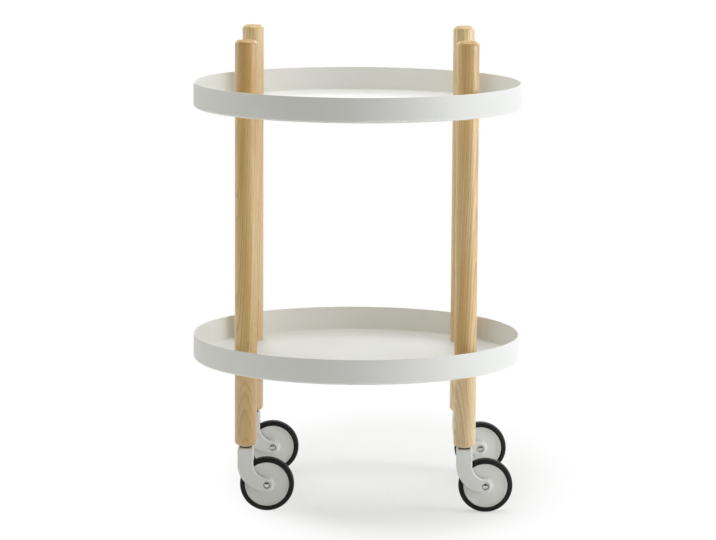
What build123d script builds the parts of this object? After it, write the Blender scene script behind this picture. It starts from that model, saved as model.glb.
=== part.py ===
# Round two-tier rolling table: two pressed steel trays on four turned wooden legs,
# each leg standing on a swivel caster. Millimetres, +Z up.
# The origin is on the floor, under the middle of the trays.

import os
from math import cos, radians, sin, sqrt

from build123d import *

os.makedirs("parts", exist_ok=True)

# Trays
tray_diameter = 450.0
tray_height = 34.0
tray_sheet = 1.5
tray_bend_radius = 4.0  # outside of the bend between floor and rim
rim_edge_round = 0.5
leg_seat_depth = 0.5  # the legs stand in shallow pressed seats
leg_seat_clearance = 0.2

# Legs
leg_rim_gap = 11.5  # from a post to the inside of the tray rim
leg_angle = 41.3  # degrees from the X axis to the front right leg, mirrored for the others
post_diameter = 30.0
post_end_round = 5.5
post_butt_chamfer = 0.5
lower_post_length = 100.0
middle_post_length = 347.0
upper_post_length = 100.0

# Screw joints between the post sections, through the tray floors
stud_diameter = 8.0
stud_engagement = 18.0  # length of stud in each threaded insert
stud_tip_chamfer = 1.0
stud_hole_clearance = 0.3
insert_diameter = 12.0
insert_length = 20.0
drill_tip_room = 4.0  # bore left free past the end of an insert
thread_clearance = 0.03
press_clearance = 0.02

# Caster stem and swivel
stem_thread_diameter = 10.0
stem_thread_length = 28.0
socket_diameter = 14.0
socket_length = 30.0
stem_collar_diameter = 16.0
stem_collar_height = 1.0
kingpin_diameter = 8.0
running_clearance = 0.04
thrust_gap = 0.1
bush_diameter = 11.0
bush_length = 14.75
bush_flange_diameter = 16.0
bush_flange_height = 1.6
ring_diameter = 12.5
ring_thickness = 1.0
ring_groove_depth = 0.8
ring_groove_slack = 0.05
ring_mouth = 5.0
ring_end_gap = 0.2
ring_recess_clearance = 0.75
ring_recess_depth = 3.5
kingpin_tip_length = 1.5

# Fork
trail = 29.0  # from the swivel axis to the axle
neck_width = 21.5
neck_corner_round = 2.7
arm_thickness = 5.5
arm_end_radius = 9.0
arm_bend_rise = 28.0  # centre of the arm's bend above the axle
web_rise = 20.0  # lower edge of the rear web above the axle
fork_edge_round = 1.8
wheel_side_gap = 1.0
wheel_top_gap = 2.0

# Axle
axle_diameter = 6.0
axle_hole_clearance = 0.05
axle_head_diameter = 9.0
axle_head_height = 1.2  # straight edge of the head, under its dome
axle_dome_height = 1.4
axle_dome_flat = 1.0  # across the small flat left by turning, at the top of the dome
axle_recess_diameter = 9.7
axle_recess_depth = 3.0
nut_across_flats = 8.0
nut_height = 2.4
axle_tip_length = 0.5
sleeve_diameter = 9.0

# Wheel
wheel_diameter = 73.5
tyre_width = 14.0
tyre_thickness = 6.8
tyre_shoulder_round = 3.2
tyre_rib_width = 5.0
tyre_rib_height = 1.5
wheel_bush_diameter = 13.0
boss_diameter = 20.0
boss_side_gap = 0.5  # from the wheel boss to the fork arm
boss_round = 0.8
lip_width = 2.0  # radial width of the raised lip round the wheel disc
lip_setback = 0.6  # lip face behind the side of the tyre
lip_round = 0.5
dish_depth = 1.8  # wheel disc below the lip face
dish_round = 0.8

# Levels and places that follow from the sizes above
axle_height = wheel_diameter / 2
slot_radius = wheel_diameter / 2 + wheel_top_gap
ring_recess_radius = ring_diameter / 2 + ring_recess_clearance
crown_reach = trail - ring_recess_radius
crown_height = axle_height + sqrt(max(slot_radius**2 - crown_reach**2, 0.0))
bush_base = crown_height + ring_recess_depth
neck_top = bush_base + bush_length
bush_flange_top = neck_top + bush_flange_height
stem_collar_base = bush_flange_top + thrust_gap
leg_base = stem_collar_base + stem_collar_height
lower_tray_base = leg_base + lower_post_length
middle_post_base = lower_tray_base + tray_sheet - leg_seat_depth
upper_tray_base = middle_post_base + middle_post_length
upper_post_base = upper_tray_base + tray_sheet - leg_seat_depth
leg_top = upper_post_base + upper_post_length

leg_radius = tray_diameter / 2 - tray_sheet - leg_rim_gap - post_diameter / 2
leg_x = leg_radius * cos(radians(leg_angle))
leg_y = leg_radius * sin(radians(leg_angle))
legs = {
    "front_left": (-leg_x, -leg_y),
    "front_right": (leg_x, -leg_y),
    "rear_left": (-leg_x, leg_y),
    "rear_right": (leg_x, leg_y),
}
leg_places = list(legs.values())

fork_gap = tyre_width + 2 * wheel_side_gap
fork_half_width = fork_gap / 2 + arm_thickness
axle_head_seat = fork_half_width - axle_recess_depth
hub_radius = wheel_diameter / 2 - tyre_thickness
sleeve_bore_radius = axle_diameter / 2 + axle_hole_clearance


def save(builder, name):
    builder.part.label = name
    export_step(builder.part, f"parts/{name}.step")


def upright_plane(x, y):
    # Faces the front, with local x along X and local y up Z
    return Plane(origin=(x, y, 0), x_dir=(1, 0, 0), z_dir=(0, -1, 0))


def axle_plane(x, y):
    # Middle plane of a wheel, facing the front, centred on the axle
    return Plane(origin=(x + trail, y, axle_height), x_dir=(1, 0, 0), z_dir=(0, -1, 0))


def wheel_section_plane(x, y):
    # Section through the axle: local x along the axle, local y outwards from it
    return Plane(origin=(x + trail, y, axle_height), x_dir=(0, 1, 0), z_dir=(1, 0, 0))


def make_tray(name, base):
    floor = base + tray_sheet
    rim = base + tray_height
    outside = tray_diameter / 2
    inside = outside - tray_sheet
    with BuildPart() as tray:
        with BuildSketch(Plane.XZ) as section:
            with BuildLine():
                Polyline(
                    (0, base),
                    (outside, base),
                    (outside, rim),
                    (inside, rim),
                    (inside, floor),
                    (0, floor),
                    close=True,
                )
            make_face()
            fillet(section.vertices().group_by(Axis.Y)[-1], rim_edge_round)
            outer_bend = section.vertices().sort_by_distance((outside, base))[0]
            fillet(outer_bend, tray_bend_radius)
            inner_bend = section.vertices().sort_by_distance((inside, floor))[0]
            fillet(inner_bend, tray_bend_radius - tray_sheet)
        revolve(axis=Axis.Z)
        with Locations(*[(x, y, floor) for x, y in leg_places]):
            Hole(post_diameter / 2 + leg_seat_clearance, depth=leg_seat_depth)
            Hole(stud_diameter / 2 + stud_hole_clearance)
    save(tray, name)


def make_post(name, place, base, length, lower_bore, upper_bore):
    # A bore is (radius, depth), or None where the end is plain and rounded over.
    # The end over a caster is rounded as well.
    x, y = place
    top = base + length
    with BuildPart() as post:
        with BuildSketch(Plane((x, y, base))):
            Circle(post_diameter / 2)
        extrude(amount=length)
        ends = post.edges().filter_by(GeomType.CIRCLE).sort_by(Axis.Z)
        if base == leg_base:
            fillet(ends[0], post_end_round)
        else:
            chamfer(ends[0], post_butt_chamfer)
        ends = post.edges().filter_by(GeomType.CIRCLE).sort_by(Axis.Z)
        if upper_bore is None:
            fillet(ends[-1], post_end_round)
        else:
            chamfer(ends[-1], post_butt_chamfer)
            with Locations((x, y, top)):
                Hole(upper_bore[0], depth=upper_bore[1])
        with Locations(Plane((x, y, base), z_dir=(0, 0, -1))):
            Hole(lower_bore[0], depth=lower_bore[1])
    save(post, name)


def make_sleeves(name, bases, outer_radius, inner_radius, length):
    # One tube on every leg axis at each base height
    with BuildPart() as sleeves:
        for base in bases:
            with BuildSketch(Plane.XY.offset(base)):
                with Locations(*leg_places):
                    Circle(outer_radius)
                    Circle(inner_radius, mode=Mode.SUBTRACT)
            extrude(amount=length)
    save(sleeves, name)


def make_studs(name, seat):
    # Studs run through the floor of the tray, whose leg seats lie at the seat height
    joint_sheet = tray_sheet - leg_seat_depth
    with BuildPart() as studs:
        with BuildSketch(Plane.XY.offset(seat - joint_sheet - stud_engagement)):
            with Locations(*leg_places):
                Circle(stud_diameter / 2)
        extrude(amount=2 * stud_engagement + joint_sheet)
        chamfer(studs.edges().filter_by(GeomType.CIRCLE), stud_tip_chamfer)
    save(studs, name)


def make_stem(name, place):
    # Threaded stem, collar and kingpin turned from one bar, with a groove for the ring
    ring_top = bush_base - ring_end_gap
    groove_top = ring_top + ring_groove_slack
    groove_base = ring_top - ring_thickness - ring_groove_slack
    pin_end = groove_base - kingpin_tip_length
    pin_radius = kingpin_diameter / 2
    groove_radius = pin_radius - ring_groove_depth
    collar_radius = stem_collar_diameter / 2
    thread_radius = stem_thread_diameter / 2
    thread_top = leg_base + stem_thread_length
    with BuildPart() as stem:
        with BuildSketch(upright_plane(*place)):
            with BuildLine():
                Polyline(
                    (0, pin_end),
                    (pin_radius, pin_end),
                    (pin_radius, groove_base),
                    (groove_radius, groove_base),
                    (groove_radius, groove_top),
                    (pin_radius, groove_top),
                    (pin_radius, stem_collar_base),
                    (collar_radius, stem_collar_base),
                    (collar_radius, leg_base),
                    (thread_radius, leg_base),
                    (thread_radius, thread_top),
                    (0, thread_top),
                    close=True,
                )
            make_face()
        revolve(axis=Axis((*place, 0), (0, 0, 1)))
    save(stem, name)


def make_rings(name):
    # Open spring rings in the kingpin grooves, which hold the forks up on their stems
    ring_base = bush_base - ring_end_gap - ring_thickness
    inner_radius = kingpin_diameter / 2 - ring_groove_depth + ring_groove_slack
    with BuildPart() as rings:
        with BuildSketch(Plane.XY.offset(ring_base)):
            with Locations(*leg_places):
                Circle(ring_diameter / 2)
                Circle(inner_radius, mode=Mode.SUBTRACT)
            with Locations(*[(x - ring_diameter / 2, y) for x, y in leg_places]):
                Rectangle(ring_diameter, ring_mouth, mode=Mode.SUBTRACT)
        extrude(amount=ring_thickness)
    save(rings, name)


def make_swivel_bush(name, place):
    bore_radius = kingpin_diameter / 2 + running_clearance
    flange_radius = bush_flange_diameter / 2
    with BuildPart() as bush:
        with BuildSketch(upright_plane(*place)):
            with BuildLine():
                Polyline(
                    (bore_radius, bush_base),
                    (bush_diameter / 2, bush_base),
                    (bush_diameter / 2, neck_top),
                    (flange_radius, neck_top),
                    (flange_radius, bush_flange_top),
                    (bore_radius, bush_flange_top),
                    close=True,
                )
            make_face()
        revolve(axis=Axis((*place, 0), (0, 0, 1)))
    save(bush, name)


def make_fork(name, place):
    x, y = place
    upright = upright_plane(x, y)
    wheel_middle = axle_plane(x, y)
    bend_height = axle_height + arm_bend_rise
    neck_half = neck_width / 2
    inner_drop = arm_bend_rise - arm_end_radius
    outer_drop = arm_bend_rise + arm_end_radius
    axle_hole = axle_diameter / 2 + axle_hole_clearance
    slot_length = 2 * (trail + neck_width)
    slot_depth = axle_height + web_rise
    with BuildPart() as fork:
        # Neck straight down, then both edges sweep round to the axle, where the arm ends in a half circle
        with BuildSketch(upright) as outline:
            with BuildLine():
                Line((-neck_half, bend_height), (-neck_half, neck_top))
                Line((-neck_half, neck_top), (neck_half, neck_top))
                Line((neck_half, neck_top), (neck_half, bend_height))
                EllipticalCenterArc((trail, bend_height), trail - neck_half, inner_drop, 180, arc_size=90)
                ThreePointArc(
                    (trail, axle_height + arm_end_radius),
                    (trail + arm_end_radius, axle_height),
                    (trail, axle_height - arm_end_radius),
                )
                EllipticalCenterArc((trail, bend_height), trail + neck_half, outer_drop, 180, arc_size=90)
            make_face()
            fillet(outline.vertices().group_by(Axis.Y)[-1], neck_corner_round)
        extrude(amount=fork_half_width, both=True)
        sides = fork.faces().filter_by(Axis.Y).sort_by(Axis.Y)
        fillet(sides[0].edges() + sides[-1].edges(), fork_edge_round)
        # Room for the wheel between the arms, under a crown that follows the tyre
        with BuildSketch(wheel_middle):
            Circle(slot_radius)
        extrude(amount=fork_gap / 2, both=True, mode=Mode.SUBTRACT)
        with BuildSketch(upright):
            with Locations((0, slot_depth)):
                Rectangle(slot_length, slot_depth, align=(Align.CENTER, Align.MAX))
        extrude(amount=fork_gap / 2, both=True, mode=Mode.SUBTRACT)
        with Locations((x, y, neck_top)):
            Hole(bush_diameter / 2 + press_clearance, depth=bush_length + ring_recess_depth)
        with Locations(Plane((x, y, axle_height), z_dir=(0, 0, -1))):
            Hole(ring_recess_radius, depth=bush_base - axle_height)
        with Locations(wheel_middle.offset(fork_half_width)):
            CounterBoreHole(axle_hole, axle_recess_diameter / 2, axle_recess_depth)
        with Locations(Plane((x + trail, y + fork_half_width, axle_height), z_dir=(0, 1, 0))):
            Hole(axle_recess_diameter / 2, depth=axle_recess_depth)
    save(fork, name)


def make_axle_bolt(name, place):
    # Domed head at the front, sunk in the arm; the plain end takes the nut at the back
    shank_radius = axle_diameter / 2
    head_radius = axle_head_diameter / 2
    flat_radius = axle_dome_flat / 2
    head_edge = axle_head_seat + axle_head_height
    head_top = head_edge + axle_dome_height
    shank_end = axle_head_seat + nut_height + axle_tip_length
    with BuildPart() as bolt:
        with BuildSketch(wheel_section_plane(*place)):
            with BuildLine():
                Polyline(
                    (-head_top, flat_radius),
                    (-head_top, 0),
                    (shank_end, 0),
                    (shank_end, shank_radius),
                    (-axle_head_seat, shank_radius),
                    (-axle_head_seat, head_radius),
                    (-head_edge, head_radius),
                )
                TangentArc((-head_top, flat_radius), (-head_edge, head_radius), tangent=(0, 1))
            make_face()
        revolve(axis=Axis((place[0] + trail, place[1], axle_height), (0, 1, 0)))
    save(bolt, name)


def make_axle_nut(name, place):
    with BuildPart() as nut:
        with BuildSketch(axle_plane(*place).offset(-axle_head_seat)):
            RegularPolygon(nut_across_flats / 2, 6, major_radius=False)
            Circle(axle_diameter / 2 + thread_clearance, mode=Mode.SUBTRACT)
        extrude(amount=-nut_height)
    save(nut, name)


def make_axle_tube(name, place, outer_radius, inner_radius, length):
    with BuildPart() as tube:
        with BuildSketch(axle_plane(*place)):
            Circle(outer_radius)
            Circle(inner_radius, mode=Mode.SUBTRACT)
        extrude(amount=length / 2, both=True)
    save(tube, name)


def make_wheel_hub(name, place):
    bore_radius = wheel_bush_diameter / 2 + press_clearance
    boss_half = fork_gap / 2 - boss_side_gap
    boss_radius = boss_diameter / 2
    lip_half = tyre_width / 2 - lip_setback
    lip_radius = hub_radius - lip_width
    disc_half = lip_half - dish_depth
    groove_half = tyre_rib_width / 2 + press_clearance
    groove_radius = hub_radius - tyre_rib_height - press_clearance
    with BuildPart() as hub:
        with BuildSketch(wheel_section_plane(*place)) as section:
            with BuildLine():
                Polyline(
                    (0, bore_radius),
                    (boss_half, bore_radius),
                    (boss_half, boss_radius),
                    (disc_half, boss_radius),
                    (disc_half, lip_radius),
                    (lip_half, lip_radius),
                    (lip_half, hub_radius),
                    (groove_half, hub_radius),
                    (groove_half, groove_radius),
                    (0, groove_radius),
                    close=True,
                )
            make_face()
            rounds = [
                ((boss_half, boss_radius), boss_round),
                ((disc_half, boss_radius), dish_round),
                ((disc_half, lip_radius), dish_round),
                ((lip_half, lip_radius), lip_round),
                ((lip_half, hub_radius), lip_round),
            ]
            for corner, size in rounds:
                fillet(section.vertices().sort_by_distance(corner)[0], size)
            mirror(about=Plane.YZ)
        revolve(axis=Axis((place[0] + trail, place[1], axle_height), (0, 1, 0)))
    save(hub, name)


def make_tyre(name, place):
    tyre_half = tyre_width / 2
    rib_half = tyre_rib_width / 2
    seat_radius = hub_radius + press_clearance
    rib_radius = hub_radius - tyre_rib_height
    tread_radius = wheel_diameter / 2
    with BuildPart() as tyre:
        with BuildSketch(wheel_section_plane(*place)) as section:
            with BuildLine():
                Polyline(
                    (0, rib_radius),
                    (rib_half, rib_radius),
                    (rib_half, seat_radius),
                    (tyre_half, seat_radius),
                    (tyre_half, tread_radius),
                    (0, tread_radius),
                    close=True,
                )
            make_face()
            shoulder = section.vertices().sort_by_distance((tyre_half, tread_radius))[0]
            fillet(shoulder, tyre_shoulder_round)
            mirror(about=Plane.YZ)
        revolve(axis=Axis((place[0] + trail, place[1], axle_height), (0, 1, 0)))
    save(tyre, name)


make_tray("lower_tray", lower_tray_base)
make_tray("upper_tray", upper_tray_base)

insert_bore = (insert_diameter / 2 + press_clearance, insert_length + drill_tip_room)
socket_bore = (socket_diameter / 2 + press_clearance, socket_length + drill_tip_room)
for leg, place in legs.items():
    make_post(f"{leg}_lower_post", place, leg_base, lower_post_length, socket_bore, insert_bore)
    make_post(f"{leg}_middle_post", place, middle_post_base, middle_post_length, insert_bore, insert_bore)
    make_post(f"{leg}_upper_post", place, upper_post_base, upper_post_length, insert_bore, None)

insert_sizes = (insert_diameter / 2, stud_diameter / 2 + thread_clearance, insert_length)
make_sleeves("upper_post_inserts", [upper_post_base], *insert_sizes)
make_sleeves("middle_post_inserts", [middle_post_base, upper_tray_base - insert_length], *insert_sizes)
make_sleeves("lower_post_inserts", [lower_tray_base - insert_length], *insert_sizes)
socket_sizes = (socket_diameter / 2, stem_thread_diameter / 2 + thread_clearance, socket_length)
make_sleeves("caster_sockets", [leg_base], *socket_sizes)
make_studs("upper_tray_studs", upper_post_base)
make_studs("lower_tray_studs", middle_post_base)
make_rings("stem_retaining_rings")

sleeve_sizes = (sleeve_diameter / 2, sleeve_bore_radius, fork_gap)
wheel_bush_sizes = (
    wheel_bush_diameter / 2,
    sleeve_diameter / 2 + running_clearance,
    fork_gap - 2 * boss_side_gap,
)
for leg, place in legs.items():
    make_stem(f"{leg}_caster_stem", place)
    make_swivel_bush(f"{leg}_swivel_bush", place)
    make_fork(f"{leg}_fork", place)
    make_axle_bolt(f"{leg}_axle_bolt", place)
    make_axle_nut(f"{leg}_axle_nut", place)
    make_axle_tube(f"{leg}_axle_sleeve", place, *sleeve_sizes)
    make_axle_tube(f"{leg}_wheel_bush", place, *wheel_bush_sizes)
    make_wheel_hub(f"{leg}_wheel_hub", place)
    make_tyre(f"{leg}_tyre", place)
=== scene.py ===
import math

import bpy
import numpy as np
from mathutils import Euler, Matrix, Vector


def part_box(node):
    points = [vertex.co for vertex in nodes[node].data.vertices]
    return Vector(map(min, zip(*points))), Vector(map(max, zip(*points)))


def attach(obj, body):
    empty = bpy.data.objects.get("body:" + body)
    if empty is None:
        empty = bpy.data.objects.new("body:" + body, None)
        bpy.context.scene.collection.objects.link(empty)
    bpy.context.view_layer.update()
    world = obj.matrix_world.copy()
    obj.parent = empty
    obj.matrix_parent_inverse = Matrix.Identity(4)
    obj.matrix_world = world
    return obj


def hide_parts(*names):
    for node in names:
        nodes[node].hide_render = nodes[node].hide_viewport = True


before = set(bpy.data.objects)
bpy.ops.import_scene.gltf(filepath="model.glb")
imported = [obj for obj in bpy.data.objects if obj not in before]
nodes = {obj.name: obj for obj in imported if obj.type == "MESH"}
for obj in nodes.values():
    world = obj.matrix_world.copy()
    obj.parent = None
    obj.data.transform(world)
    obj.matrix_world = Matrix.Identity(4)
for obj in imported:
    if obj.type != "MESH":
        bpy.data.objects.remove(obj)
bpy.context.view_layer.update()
legNames = ["front_left", "front_right", "rear_left", "rear_right"]
print("frame loaded:", len(nodes), "nodes")


# small helpers for node trees

noiseSpan = (0.3, 0.7)  # most values of a noise texture lie between these


def feed(tree, socket, value):
    # another node's socket is linked, anything else becomes the socket's own value
    if isinstance(value, bpy.types.NodeSocket):
        tree.links.new(value, socket)
    else:
        socket.default_value = value


def addNode(tree, kind, inputs=None, **settings):
    node = tree.nodes.new(kind)
    for name, value in settings.items():
        setattr(node, name, value)
    for name, value in (inputs or {}).items():
        feed(tree, node.inputs[name], value)
    return node


def maths(tree, operation, first, second=None):
    inputs = {0: first} if second is None else {0: first, 1: second}
    return addNode(tree, "ShaderNodeMath", inputs, operation=operation).outputs[0]


def vectorMaths(tree, operation, first, second):
    return addNode(tree, "ShaderNodeVectorMath", {0: first, 1: second}, operation=operation).outputs[0]


def vectorLength(tree, vector):
    return addNode(tree, "ShaderNodeVectorMath", {0: vector}, operation="LENGTH").outputs["Value"]


def remap(tree, value, fromLow, fromHigh, toLow=0.0, toHigh=1.0):
    # a soft step from one level to the other
    inputs = {"Value": value, "From Min": fromLow, "From Max": fromHigh, "To Min": toLow, "To Max": toHigh}
    return addNode(tree, "ShaderNodeMapRange", inputs, interpolation_type="SMOOTHSTEP").outputs["Result"]


def choose(tree, mask, low, high):
    # low where the mask is zero, high where it is one
    inputs = {"Value": mask, "To Min": low, "To Max": high}
    return addNode(tree, "ShaderNodeMapRange", inputs).outputs["Result"]


def mixColour(tree, factor, first, second):
    inputs = {0: factor, 6: first, 7: second}  # by number, because the Mix node's sockets share their names
    return addNode(tree, "ShaderNodeMix", inputs, data_type="RGBA").outputs[2]


def noise(tree, vector, scale, detail=2.0, roughness=0.5, output="Fac"):
    inputs = {"Vector": vector, "Scale": scale, "Detail": detail, "Roughness": roughness}
    return addNode(tree, "ShaderNodeTexNoise", inputs).outputs[output]


def rgba(colour):
    return (*colour, 1.0)


def newGroup(name, inputs, outputs):
    group = bpy.data.node_groups.new(name, "ShaderNodeTree")
    for side, sockets in (("INPUT", inputs), ("OUTPUT", outputs)):
        for label, kind in sockets.items():
            group.interface.new_socket(label, in_out=side, socket_type="NodeSocket" + kind)
    source = group.nodes.new("NodeGroupInput")
    sink = group.nodes.new("NodeGroupOutput")
    return group, source.outputs, sink.inputs


def useGroup(tree, group, inputs):
    return addNode(tree, "ShaderNodeGroup", inputs, node_tree=group).outputs


def newMaterial(name):
    material = bpy.data.materials.new(name)
    material.use_nodes = True
    tree = material.node_tree
    shader = tree.nodes["Principled BSDF"]
    place = tree.nodes.new("ShaderNodeTexCoord").outputs["Object"]
    return material, tree, shader, place


def bump(tree, shader, height, distance):
    node = addNode(tree, "ShaderNodeBump", {"Height": height, "Distance": distance, "Strength": 1.0})
    tree.links.new(node.outputs["Normal"], shader.inputs["Normal"])


# shared surface effects

peelShape = {
    "rippleRatio": 3.1,  # ripples across one cell
    "rippleShare": 0.3,
    "mottleScale": 7.0,
}


def makeOrangePeel(shape):
    # sprayed and baked paint: soft cells with a finer ripple over them, and a slow mottle of the shade
    group, given, result = newGroup(
        "orangePeel",
        {"Vector": "Vector", "Cell Size": "Float"},
        {"Height": "Float", "Mottle": "Float"},
    )
    place = given["Vector"]
    cellScale = maths(group, "DIVIDE", 1.0, given["Cell Size"])
    cells = noise(group, place, cellScale, detail=1.0, roughness=0.4)
    rippleScale = maths(group, "MULTIPLY", cellScale, shape["rippleRatio"])
    ripple = noise(group, place, rippleScale, detail=1.0, roughness=0.4)
    fine = maths(group, "MULTIPLY", ripple, shape["rippleShare"])
    group.links.new(maths(group, "ADD", cells, fine), result["Height"])
    mottle = noise(group, place, shape["mottleScale"], detail=3.0, roughness=0.55)
    group.links.new(mottle, result["Mottle"])
    return group


handlingShape = {
    "smearSpan": (0.42, 0.68),
    "speckScale": 1400.0,
    "speckSpan": (0.66, 0.76),
}


def makeHandling(shape):
    # faint smears and dust left by use: broad patches broken up by fine specks
    group, given, result = newGroup(
        "handling",
        {"Vector": "Vector", "Patch Size": "Float"},
        {"Smear": "Float", "Dust": "Float"},
    )
    patchScale = maths(group, "DIVIDE", 1.0, given["Patch Size"])
    patches = noise(group, given["Vector"], patchScale, detail=4.0, roughness=0.6)
    group.links.new(remap(group, patches, *shape["smearSpan"]), result["Smear"])
    specks = noise(group, given["Vector"], shape["speckScale"], detail=1.0)
    speckMask = remap(group, specks, *shape["speckSpan"])
    group.links.new(maths(group, "MULTIPLY", speckMask, patches), result["Dust"])
    return group


legSpread = {
    "acrossTurn": 0.55,  # radians, one way on the right legs and the other way on the left ones
    "depthTurn": 1.25,  # radians, one way on the rear legs and the other way on the front ones
    "rearLeftTurn": 1.57,  # radians more on the rear left leg, to turn a dark patch away from the front
    "acrossShift": 1.7,  # metres along the log
    "depthShift": 3.1,
}


def spreadLegs(group, place, turn, legX, legY, spread):
    # moves each leg to the axis and turns it by its own angle, so that no two legs show the same grain;
    # left and front are one on the left legs and on the front legs, which the finish makes darker and
    # richer than the others
    split = addNode(group, "ShaderNodeSeparateXYZ", {0: place}).outputs
    sideX = maths(group, "SIGN", split["X"])
    sideY = maths(group, "SIGN", split["Y"])
    left = remap(group, sideX, -1.0, 1.0, 1.0, 0.0)
    rear = remap(group, sideY, -1.0, 1.0)
    front = maths(group, "SUBTRACT", 1.0, rear)
    localX = maths(group, "SUBTRACT", split["X"], maths(group, "MULTIPLY", sideX, legX))
    localY = maths(group, "SUBTRACT", split["Y"], maths(group, "MULTIPLY", sideY, legY))
    shiftX = maths(group, "MULTIPLY", sideX, spread["acrossShift"])
    shiftY = maths(group, "MULTIPLY", sideY, spread["depthShift"])
    localZ = maths(group, "ADD", split["Z"], maths(group, "ADD", shiftX, shiftY))
    local = addNode(group, "ShaderNodeCombineXYZ", {"X": localX, "Y": localY, "Z": localZ}).outputs[0]
    turnX = maths(group, "MULTIPLY", sideX, spread["acrossTurn"])
    turnY = maths(group, "MULTIPLY", sideY, spread["depthTurn"])
    cornerTurn = maths(group, "MULTIPLY", maths(group, "MULTIPLY", left, rear), spread["rearLeftTurn"])
    sideTurn = maths(group, "ADD", maths(group, "ADD", turnX, turnY), cornerTurn)
    inputs = {"Vector": local, "Angle": maths(group, "ADD", sideTurn, turn)}
    turned = addNode(group, "ShaderNodeVectorRotate", inputs, rotation_type="Z_AXIS").outputs[0]
    return turned, left, front


grainShape = {
    "bendStretch": (1.0, 1.0, 0.22),  # a small last number draws a pattern out along the log
    "bendScale": 26.0,
    "unevenScale": 0.45,
    "unevenShare": 1.6,
    "ringOnset": (0.0, 0.06),
    "ringFade": (0.06, 0.62),
    "fibreStretch": (1.0, 1.0, 0.018),
    "poreStretch": (1.0, 1.0, 0.06),
    "poreScale": 1900.0,
    "poreSpan": (0.56, 0.70),
    "toneStretch": (1.0, 1.0, 0.05),
    "toneScale": 90.0,
}


def makeAshGrain(legX, legY, spread, shape):
    # growth rings are shells round a pith line: distance from it, bent by slow noise, cut into equal steps;
    # every step starts with a porous brown band that fades into pale late wood
    group, given, result = newGroup(
        "ashGrain",
        {
            "Vector": "Vector",
            "Turn": "Float",
            "Pith": "Vector",
            "Lean": "Vector",
            "Ring Width": "Float",
            "Waviness": "Float",
            "Fibre Width": "Float",
        },
        dict.fromkeys(["Ring", "Fibre", "Pore", "Tone", "Left", "Front"], "Float"),
    )
    turned, left, front = spreadLegs(group, given["Vector"], given["Turn"], legX, legY, spread)
    group.links.new(left, result["Left"])
    group.links.new(front, result["Front"])
    inputs = {"Vector": turned, "Location": given["Pith"], "Rotation": given["Lean"]}
    inLog = addNode(group, "ShaderNodeMapping", inputs).outputs[0]

    stretched = vectorMaths(group, "MULTIPLY", inLog, shape["bendStretch"])
    bends = noise(group, stretched, shape["bendScale"], output="Color")
    centred = vectorMaths(group, "SUBTRACT", bends, (0.5, 0.5, 0.5))
    inputs = {0: centred, "Scale": given["Waviness"]}
    wave = addNode(group, "ShaderNodeVectorMath", inputs, operation="SCALE").outputs[0]
    bent = vectorMaths(group, "ADD", inLog, wave)

    reach = vectorLength(group, vectorMaths(group, "MULTIPLY", bent, (1.0, 1.0, 0.0)))
    steps = maths(group, "DIVIDE", reach, given["Ring Width"])
    inputs = {"W": steps, "Scale": shape["unevenScale"], "Detail": 1.0}
    uneven = addNode(group, "ShaderNodeTexNoise", inputs, noise_dimensions="1D").outputs["Fac"]
    shifted = maths(group, "ADD", steps, maths(group, "MULTIPLY", uneven, shape["unevenShare"]))
    phase = maths(group, "FRACT", shifted)
    onset = remap(group, phase, *shape["ringOnset"])
    fade = remap(group, phase, *shape["ringFade"], 1.0, 0.0)
    ring = maths(group, "MULTIPLY", fade, onset)
    group.links.new(ring, result["Ring"])

    fibreScale = maths(group, "DIVIDE", 1.0, given["Fibre Width"])
    drawn = vectorMaths(group, "MULTIPLY", bent, shape["fibreStretch"])
    group.links.new(noise(group, drawn, fibreScale, roughness=0.6), result["Fibre"])
    dashes = vectorMaths(group, "MULTIPLY", bent, shape["poreStretch"])
    poreMask = remap(group, noise(group, dashes, shape["poreScale"], detail=1.0), *shape["poreSpan"])
    group.links.new(maths(group, "MULTIPLY", poreMask, ring), result["Pore"])
    streaks = vectorMaths(group, "MULTIPLY", bent, shape["toneStretch"])
    group.links.new(noise(group, streaks, shape["toneScale"]), result["Tone"])
    return group


postLow, postHigh = (np.array(corner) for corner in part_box("front_right_middle_post"))
legX, legY, _ = map(float, np.abs(postLow + postHigh) / 2)
orangePeel = makeOrangePeel(peelShape)
handling = makeHandling(handlingShape)
ashGrain = makeAshGrain(legX, legY, legSpread, grainShape)
print("surface effects ready")


# finishes

def paintFinish(name, look):
    material, tree, shader, place = newMaterial(name)
    peel = useGroup(tree, orangePeel, {"Vector": place, "Cell Size": look["cell"]})
    hands = useGroup(tree, handling, {"Vector": place, "Patch Size": look["patch"]})
    shade = remap(tree, peel["Mottle"], *noiseSpan)
    coat = mixColour(tree, shade, rgba(look["deep"]), rgba(look["pale"]))
    dusty = maths(tree, "MULTIPLY", hands["Dust"], look["dust"])
    tree.links.new(mixColour(tree, dusty, coat, rgba(look["dustColour"])), shader.inputs["Base Color"])
    rough = remap(tree, hands["Smear"], 0.0, 1.0, look["roughLow"], look["roughHigh"])
    tree.links.new(rough, shader.inputs["Roughness"])
    shader.inputs["Specular IOR Level"].default_value = look["specular"]
    bump(tree, shader, peel["Height"], look["depth"])
    return material


trayLook = {
    "deep": (0.921, 0.930, 0.905),
    "pale": (0.941, 0.949, 0.928),
    "dustColour": (0.70, 0.70, 0.67),
    "dust": 0.25,
    "cell": 0.0011,
    "depth": 0.000035,
    "patch": 0.09,
    "roughLow": 0.50,
    "roughHigh": 0.58,
    "specular": 0.40,
}
forkLook = {
    "deep": (0.925, 0.932, 0.908),
    "pale": (0.945, 0.950, 0.930),
    "dustColour": (0.55, 0.55, 0.52),
    "dust": 0.3,
    "cell": 0.0008,
    "depth": 0.00003,
    "patch": 0.025,
    "roughLow": 0.40,
    "roughHigh": 0.50,
    "specular": 0.5,
}
discLook = dict(forkLook, deep=(0.915, 0.924, 0.890), pale=(0.940, 0.948, 0.920), cell=0.0010, patch=0.018)


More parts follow.
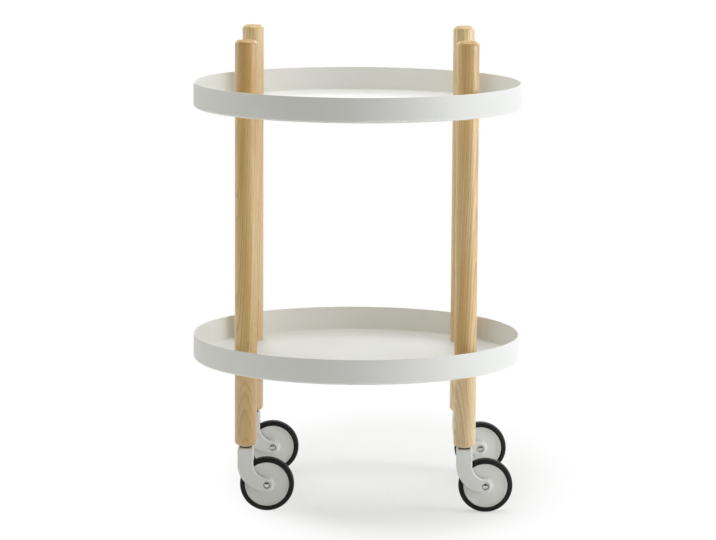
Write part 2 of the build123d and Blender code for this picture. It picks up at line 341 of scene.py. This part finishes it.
def makeEndGrain(tree, slope):
    # one on the ends of the posts, which face up or down, and zero on their sides
    normal = tree.nodes.new("ShaderNodeTexCoord").outputs["Normal"]
    upward = addNode(tree, "ShaderNodeSeparateXYZ", {0: normal}).outputs["Z"]
    return remap(tree, maths(tree, "ABSOLUTE", upward), *slope)


def woodFinish(name, look):
    # pale to honey ground, then brown rings, fibres and pores; end grain drinks the lacquer, so it is
    # darker and more matt than the sides
    material, tree, shader, place = newMaterial(name)
    grain = useGroup(tree, ashGrain, {
        "Vector": place,
        "Turn": look["turn"],
        "Pith": look["pith"],
        "Lean": [math.radians(angle) for angle in look["lean"]],
        "Ring Width": look["ringWidth"],
        "Waviness": look["waviness"],
        "Fibre Width": look["fibreWidth"],
    })
    endGrain = makeEndGrain(tree, look["endSlope"])

    tone = remap(tree, grain["Tone"], *noiseSpan, 0.0, 1.0 - look["leftShare"] - look["frontShare"])
    # the left legs and the front legs are pushed further towards honey than the others
    leftRich = maths(tree, "MULTIPLY", grain["Left"], look["leftShare"])
    frontRich = maths(tree, "MULTIPLY", grain["Front"], look["frontShare"])
    rich = maths(tree, "ADD", tone, maths(tree, "ADD", leftRich, frontRich))
    ground = mixColour(tree, rich, rgba(look["pale"]), rgba(look["honey"]))
    ringShare = maths(tree, "MULTIPLY", grain["Ring"], look["ringStrength"])
    ringed = mixColour(tree, ringShare, ground, rgba(look["brown"]))
    fibreShare = remap(tree, grain["Fibre"], *look["fibreSpan"], 0.0, look["fibreStrength"])
    fibred = mixColour(tree, fibreShare, ringed, rgba(look["fibre"]))
    poreShare = maths(tree, "MULTIPLY", grain["Pore"], look["poreStrength"])
    pored = mixColour(tree, poreShare, fibred, rgba(look["pore"]))
    endShare = maths(tree, "MULTIPLY", endGrain, look["endStrength"])
    tree.links.new(mixColour(tree, endShare, pored, rgba(look["brown"])), shader.inputs["Base Color"])

    sideRough = remap(tree, grain["Fibre"], *noiseSpan, look["roughLow"], look["roughHigh"])
    endRough = maths(tree, "MULTIPLY", endGrain, look["endRough"])
    tree.links.new(maths(tree, "MAXIMUM", sideRough, endRough), shader.inputs["Roughness"])
    shader.inputs["Specular IOR Level"].default_value = look["specular"]
    coat = remap(tree, endGrain, 0.0, 1.0, look["lacquer"], look["endLacquer"])
    tree.links.new(coat, shader.inputs["Coat Weight"])
    shader.inputs["Coat Roughness"].default_value = look["lacquerRough"]
    shader.inputs["Coat IOR"].default_value = look["lacquerIndex"]
    raised = maths(tree, "MULTIPLY", grain["Fibre"], look["fibreHeight"])
    bump(tree, shader, maths(tree, "SUBTRACT", raised, grain["Pore"]), look["depth"])
    return material


ashLook = {
    "pale": (0.930, 0.692, 0.348),
    "honey": (0.780, 0.458, 0.103),
    "brown": (0.480, 0.280, 0.090),
    "fibre": (0.550, 0.345, 0.120),
    "pore": (0.320, 0.175, 0.055),
    "leftShare": 0.10,
    "frontShare": 0.32,
    "ringStrength": 0.55,
    "fibreStrength": 0.35,
    "poreStrength": 0.6,
    "ringWidth": 0.0028,
    "waviness": 0.0045,
    "fibreWidth": 0.00045,
    "fibreSpan": (0.40, 0.72),
    "fibreHeight": 0.35,
    "roughLow": 0.42,
    "roughHigh": 0.56,
    "specular": 0.45,
    "lacquer": 1.0,
    "lacquerRough": 0.38,
    "lacquerIndex": 1.66,
    "endSlope": (0.70, 0.97),
    "endStrength": 0.20,
    "endRough": 0.90,
    "endLacquer": 0.10,
    "depth": 0.00006,
    "turn": 0.0,  # radians
    "pith": (0.060, 0.020, 0.0),
    "lean": (1.2, -0.8, 0.0),  # degrees
}
upperAsh = dict(
    ashLook,
    pale=(0.930, 0.710, 0.370),
    honey=(0.672, 0.375, 0.074),
    leftShare=0.12,
    frontShare=0.65,
    ringStrength=0.30,
    turn=0.8,
    pith=(0.050, -0.018, 0.0),
    lean=(-1.5, 1.0, 0.0),
)
middleAsh = dict(ashLook, turn=1.25, pith=(0.070, 0.012, 0.0), lean=(0.0, -2.2, 0.0))
lowerAsh = dict(
    ashLook,
    pale=(0.970, 0.760, 0.440),
    honey=(0.765, 0.468, 0.162),
    leftShare=0.55,
    frontShare=0.15,
    ringStrength=0.34,
    waviness=0.0075,
    turn=0.23,
    pith=(0.060, 0.0, 0.0),
    lean=(0.0, 5.7, 0.0),
)


def rubberFinish(name, look):
    material, tree, shader, place = newMaterial(name)
    hands = useGroup(tree, handling, {"Vector": place, "Patch Size": look["patch"]})
    grit = noise(tree, place, look["gritScale"], roughness=0.6)
    worn = mixColour(tree, hands["Smear"], rgba(look["black"]), rgba(look["worn"]))
    dusty = maths(tree, "MULTIPLY", hands["Dust"], look["dust"])
    tree.links.new(mixColour(tree, dusty, worn, rgba(look["dustColour"])), shader.inputs["Base Color"])
    rough = remap(tree, grit, *noiseSpan, look["roughLow"], look["roughHigh"])
    tree.links.new(rough, shader.inputs["Roughness"])
    shader.inputs["Specular IOR Level"].default_value = look["specular"]
    bump(tree, shader, grit, look["depth"])
    return material


tyreLook = {
    "black": (0.0100, 0.0102, 0.0086),
    "worn": (0.0140, 0.0142, 0.0124),
    "dustColour": (0.07, 0.067, 0.060),
    "dust": 0.4,
    "patch": 0.02,
    "gritScale": 1600.0,
    "roughLow": 0.52,
    "roughHigh": 0.68,
    "specular": 0.28,
    "depth": 0.00005,
}
nylonLook = dict(tyreLook, black=(0.008, 0.007, 0.006), worn=(0.012, 0.011, 0.010), specular=0.12)
acetalLook = dict(
    tyreLook,
    black=(0.72, 0.71, 0.66),  # the same finish in off-white
    worn=(0.68, 0.67, 0.62),
    dustColour=(0.5, 0.5, 0.46),
    roughLow=0.4,
    roughHigh=0.5,
)


def metalFinish(name, look):
    material, tree, shader, place = newMaterial(name)
    hands = useGroup(tree, handling, {"Vector": place, "Patch Size": look["patch"]})
    drawn = vectorMaths(tree, "MULTIPLY", place, look["drawn"])
    lines = noise(tree, drawn, look["lineScale"], roughness=0.6)
    tint = mixColour(tree, hands["Smear"], rgba(look["bright"]), rgba(look["dull"]))
    tree.links.new(tint, shader.inputs["Base Color"])
    rough = remap(tree, lines, *noiseSpan, look["roughLow"], look["roughHigh"])
    tree.links.new(rough, shader.inputs["Roughness"])
    shader.inputs["Metallic"].default_value = 1.0
    bump(tree, shader, lines, look["depth"])
    return material


steelLook = {
    "bright": (0.60, 0.60, 0.58),
    "dull": (0.48, 0.48, 0.46),
    "patch": 0.004,
    "drawn": (1.0, 0.1, 1.0),
    "lineScale": 2500.0,
    "roughLow": 0.12,
    "roughHigh": 0.20,
    "depth": 0.00001,
}
brassLook = dict(steelLook, bright=(0.72, 0.53, 0.24), dull=(0.60, 0.43, 0.19))

# each finish goes on the nodes whose names end in these words
finishes = {
    "_tray": paintFinish("trayPowderCoat", trayLook),
    "_upper_post": woodFinish("ashUpperPosts", upperAsh),
    "_middle_post": woodFinish("ashMiddlePosts", middleAsh),
    "_lower_post": woodFinish("ashLowerPosts", lowerAsh),
    "_fork": paintFinish("forkPaint", forkLook),
    "_wheel_hub": paintFinish("wheelDiscPaint", discLook),
    "_tyre": rubberFinish("tyreRubber", tyreLook),
    "_swivel_bush": rubberFinish("swivelBushNylon", nylonLook),
    "_wheel_bush": rubberFinish("wheelBushAcetal", acetalLook),
    "_inserts": metalFinish("turnedBrass", brassLook),
}
finishes["caster_sockets"] = finishes["_inserts"]
platedSteel = metalFinish("platedSteel", steelLook)
for suffix in ("_studs", "_rings", "_caster_stem", "_axle_bolt", "_axle_nut", "_axle_sleeve"):
    finishes[suffix] = platedSteel


def finishFor(name):
    return next(material for suffix, material in finishes.items() if name.endswith(suffix))


for name, part in nodes.items():
    part.data.materials.clear()
    part.data.materials.append(finishFor(name))
print("finishes on", len(nodes), "nodes")


# moulded tyres, modelled finer than the solids they stand for

tyreShape = {
    "aroundSteps": 192,
    "arcSteps": 9,
    "flatEnds": (0.06, 0.94),  # where the two points of a flat side lie along it
    "shoulderRound": 0.0032,
    "beadRound": 0.0005,
    "seamHeight": 0.00012,
    "seamHalfWidth": 0.0004,
    "rimBandHeight": 0.00022,
    "rimBandTop": 0.0024,
    "smallRound": 0.00008,
}


def roundedOutline(corners, radii, arcSteps, flatEnds):
    # each corner of a closed outline becomes the arc that touches both its sides, and each side keeps
    # two points near its ends, so that the flats shade flat
    before = np.roll(corners, 1, axis=0) - corners
    after = np.roll(corners, -1, axis=0) - corners
    before /= np.linalg.norm(before, axis=1, keepdims=True)
    after /= np.linalg.norm(after, axis=1, keepdims=True)
    half = np.arccos(np.clip((before * after).sum(1), -1.0, 1.0)) / 2
    middle = before + after
    middle /= np.linalg.norm(middle, axis=1, keepdims=True)
    centres = corners + middle * (radii / np.sin(half))[:, None]
    touch = (radii / np.tan(half))[:, None]
    starts = corners + before * touch
    ends = corners + after * touch
    sweep = (np.pi - 2 * half)[:, None, None]
    share = np.linspace(0.0, 1.0, arcSteps)[None, :, None]
    startArms = (starts - centres)[:, None, :]
    endArms = (ends - centres)[:, None, :]
    arcs = (np.sin((1 - share) * sweep) * startArms + np.sin(share * sweep) * endArms) / np.sin(sweep)
    arcs = arcs + centres[:, None, :]
    following = np.roll(starts, -1, axis=0)
    sideShare = np.array(flatEnds)[None, :, None]
    sides = ends[:, None, :] + sideShare * (following - ends)[:, None, :]
    return np.concatenate([arcs, sides], axis=1).reshape(-1, 2)


def wheelRing(outline, centre, aroundSteps):
    # a closed outline of (distance along the axle, distance from it) carried once round the axle
    turn = np.linspace(0.0, 2 * np.pi, aroundSteps, endpoint=False)[:, None]
    along = np.broadcast_to(outline[None, :, 0], (aroundSteps, len(outline)))
    out = outline[None, :, 1]
    offsets = np.stack([out * np.cos(turn), along, out * np.sin(turn)], axis=2)
    return centre + offsets


def ringMesh(name, grid):
    # a grid that closes on itself both ways, turned so that its faces point outwards
    rows, columns, _ = grid.shape
    index = np.arange(rows * columns).reshape(rows, columns)
    right = np.roll(index, -1, axis=1)
    rightUp = np.roll(right, -1, axis=0)
    up = np.roll(index, -1, axis=0)
    faces = np.stack([index, right, rightUp, up], axis=2).reshape(-1, 4)
    points = grid.reshape(-1, 3)
    arms = points - points.mean(axis=0)
    first, second, third = arms[faces[:, 0]], arms[faces[:, 1]], arms[faces[:, 2]]
    if np.einsum("ij,ij->", first, np.cross(second, third)) < 0:
        faces = faces[:, ::-1]
    mesh = bpy.data.meshes.new(name)
    mesh.from_pydata(points, [], faces)
    mesh.polygons.foreach_set("use_smooth", np.ones(len(faces), dtype=bool))
    piece = bpy.data.objects.new(name, mesh)
    bpy.context.collection.objects.link(piece)
    return piece


def makeTyre(leg, shape):
    # the outline runs from the seam over the tread, the shoulder and the band down to the seat on the disc,
    # and back up the other side; each corner has its own rounding
    low, high = (np.array(corner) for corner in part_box(leg + "_tyre"))
    discLow, discHigh = (np.array(corner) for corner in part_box(leg + "_wheel_hub"))
    centre = (low + high) / 2
    half = (high[1] - low[1]) / 2
    tread = (high[2] - low[2]) / 2
    seat = (discHigh[2] - discLow[2]) / 2
    band = shape["rimBandHeight"]
    bandTop = seat + shape["rimBandTop"]
    seam = shape["seamHalfWidth"]
    crown = tread - shape["seamHeight"]
    side = half - band
    fine = shape["smallRound"]
    right = [
        (seam / 2, tread, fine),
        (seam, crown, fine),
        (side, crown, shape["shoulderRound"]),
        (side, bandTop + band, fine),
        (half, bandTop, fine),
        (half, seat, shape["beadRound"]),
    ]
    left = [(-along, out, radius) for along, out, radius in reversed(right)]
    table = np.array(right + left)
    outline = roundedOutline(table[:, :2], table[:, 2], shape["arcSteps"], shape["flatEnds"])
    tyre = ringMesh(leg + "_moulded_tyre", wheelRing(outline, centre, shape["aroundSteps"]))
    tyre.data.materials.append(finishFor(leg + "_tyre"))
    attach(tyre, leg + "_wheel")
    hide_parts(leg + "_tyre")


for leg in legNames:
    makeTyre(leg, tyreShape)
print("tyres moulded")


# camera at the photograph's angle

cameraLook = {
    "place": (0.0019, -4.8206, 1.0288),
    "turn": 0.34,  # degrees, like the next two
    "pitchDown": 8.474,
    "roll": 0.33,
    "lens": 177.4,
    "sensor": 36.0,
    "reach": 50.0,
}


def makeCamera(look):
    data = bpy.data.cameras.new("photoCamera")
    data.sensor_fit = "HORIZONTAL"
    data.sensor_width = look["sensor"]
    data.lens = look["lens"]
    data.clip_end = look["reach"]
    camera = bpy.data.objects.new("photoCamera", data)
    bpy.context.collection.objects.link(camera)
    level = Euler((math.radians(90.0 - look["pitchDown"]), 0.0, 0.0)).to_matrix()
    rolled = level @ Matrix.Rotation(math.radians(look["roll"]), 3, "Z")
    orbit = Matrix.Rotation(math.radians(look["turn"]), 4, "Z")
    camera.matrix_world = orbit @ Matrix.LocRotScale(Vector(look["place"]), rolled, None)
    bpy.context.scene.camera = camera


makeCamera(cameraLook)


# pale floor and soft studio light

studioLook = {
    "worldLight": 0.152,
    "worldColour": (1.0, 1.0, 0.85),
    "white": (1.0, 1.0, 1.0),
    "roomLight": 0.08,
    "roomEdge": (-0.55, -0.05),
    "brightSide": (0.25, 1.0, 0.0),
    "floorColour": (0.95, 0.95, 0.95),
    "floorReach": 30.0,
    "nearWhite": 0.47,
    "shadowCentre": (0.06, 0.13, 0.0),
    "shadowReach": (0.265, 0.53, 1.0),
    "shadowFade": (0.6, 1.0),
    "lamps": [
        {"name": "keySoftbox", "place": (2.5, -0.5, 0.85), "size": (1.8, 1.5), "watts": 23.5,
         "colour": (0.98, 0.985, 1.04)},
        {"name": "sideStrip", "place": (1.5, -0.3, 0.48), "size": (0.28, 0.7), "watts": 2.2,
         "colour": (0.98, 0.99, 1.03)},
        {"name": "fillSoftbox", "place": (-2.7, 0.2, 1.1), "size": (1.6, 1.8), "watts": 9.0,
         "colour": (1.0, 1.0, 0.94)},
        {"name": "backSoftbox", "place": (0.3, 2.8, 1.9), "size": (4.0, 1.8), "watts": 46.0,
         "colour": (0.99, 1.0, 1.01)},
        {"name": "topSoftbox", "place": (0.1, 0.1, 3.0), "size": (2.0, 2.0), "watts": 37.0,
         "colour": (0.99, 1.0, 1.01)},
        {"name": "frontFill", "place": (-0.6, -2.75, 2.3), "size": (2.4, 1.2), "watts": 8.0,
         "colour": (1.0, 1.0, 0.94), "mirrored": False},
    ],
    "aim": (0.0, 0.0, 0.36),
}


def mirroredRays(tree, light):
    # one where the ray comes from a mirror reflection or glass
    return maths(tree, "MAXIMUM", light["Is Glossy Ray"], light["Is Transmission Ray"])


def makeWorld(look):
    # the camera sees plain white all round; reflections see the white backdrop behind the table and the dim
    # room in front of it; everything else gets a low, even light
    world = bpy.data.worlds.new("studioWorld")
    world.use_nodes = True
    tree = world.node_tree
    background = tree.nodes["Background"]
    light = tree.nodes.new("ShaderNodeLightPath").outputs
    mirrored = mirroredRays(tree, light)
    towards = tree.nodes.new("ShaderNodeTexCoord").outputs["Generated"]
    inputs = {0: towards, 1: look["brightSide"]}
    depth = addNode(tree, "ShaderNodeVectorMath", inputs, operation="DOT_PRODUCT").outputs["Value"]
    reflected = remap(tree, depth, *look["roomEdge"], look["roomLight"], 1.0)
    indirect = choose(tree, mirrored, look["worldLight"], reflected)
    strength = choose(tree, light["Is Camera Ray"], indirect, 1.0)
    tree.links.new(strength, background.inputs["Strength"])
    direct = maths(tree, "MAXIMUM", light["Is Camera Ray"], mirrored)
    colour = mixColour(tree, direct, rgba(look["worldColour"]), rgba(look["white"]))
    tree.links.new(colour, background.inputs["Color"])
    bpy.context.scene.world = world


def makeFloor(look):
    # a flat square; seen directly it fades from the shaded oval under the table to plain white further out,
    # and from below it is clear, so that the underside of the table shows
    reach = look["floorReach"]
    corners = [(-reach, -reach, 0.0), (reach, -reach, 0.0), (reach, reach, 0.0), (-reach, reach, 0.0)]
    mesh = bpy.data.meshes.new("studioFloor")
    mesh.from_pydata(corners, [], [(0, 1, 2, 3)])
    floor = bpy.data.objects.new("studioFloor", mesh)
    bpy.context.collection.objects.link(floor)
    material, tree, shader, place = newMaterial("studioFloor")
    shader.inputs["Base Color"].default_value = rgba(look["floorColour"])
    shader.inputs["Roughness"].default_value = 1.0
    shader.inputs["Specular IOR Level"].default_value = 0.0

    offset = vectorMaths(tree, "SUBTRACT", place, look["shadowCentre"])
    distance = vectorLength(tree, vectorMaths(tree, "DIVIDE", offset, look["shadowReach"]))
    white = remap(tree, distance, *look["shadowFade"], look["nearWhite"], 1.0)
    light = tree.nodes.new("ShaderNodeLightPath").outputs
    direct = maths(tree, "MAXIMUM", light["Is Camera Ray"], mirroredRays(tree, light))
    share = maths(tree, "MULTIPLY", white, direct)
    glow = addNode(tree, "ShaderNodeEmission", {"Strength": 1.0})
    above = addNode(tree, "ShaderNodeMixShader", {0: share, 1: shader.outputs[0], 2: glow.outputs[0]})
    below = tree.nodes.new("ShaderNodeNewGeometry").outputs["Backfacing"]
    clear = tree.nodes.new("ShaderNodeBsdfTransparent")
    surface = addNode(tree, "ShaderNodeMixShader", {0: below, 1: above.outputs[0], 2: clear.outputs[0]})
    tree.links.new(surface.outputs[0], tree.nodes["Material Output"].inputs["Surface"])
    mesh.materials.append(material)


def makeLamps(look):
    for lamp in look["lamps"]:
        data = bpy.data.lights.new(lamp["name"], "AREA")
        data.shape = "RECTANGLE"
        data.size, data.size_y = lamp["size"]
        data.energy = lamp["watts"]
        data.color = lamp["colour"]
        softbox = bpy.data.objects.new(lamp["name"], data)
        softbox.visible_glossy = lamp.get("mirrored", True)
        bpy.context.collection.objects.link(softbox)
        place = Vector(lamp["place"])
        towards = Vector(look["aim"]) - place
        softbox.matrix_world = Matrix.LocRotScale(place, towards.to_track_quat("-Z", "Y"), None)


makeWorld(studioLook)
makeFloor(studioLook)
makeLamps(studioLook)
bpy.context.scene.view_settings.view_transform = "Standard"
print("camera and studio ready")

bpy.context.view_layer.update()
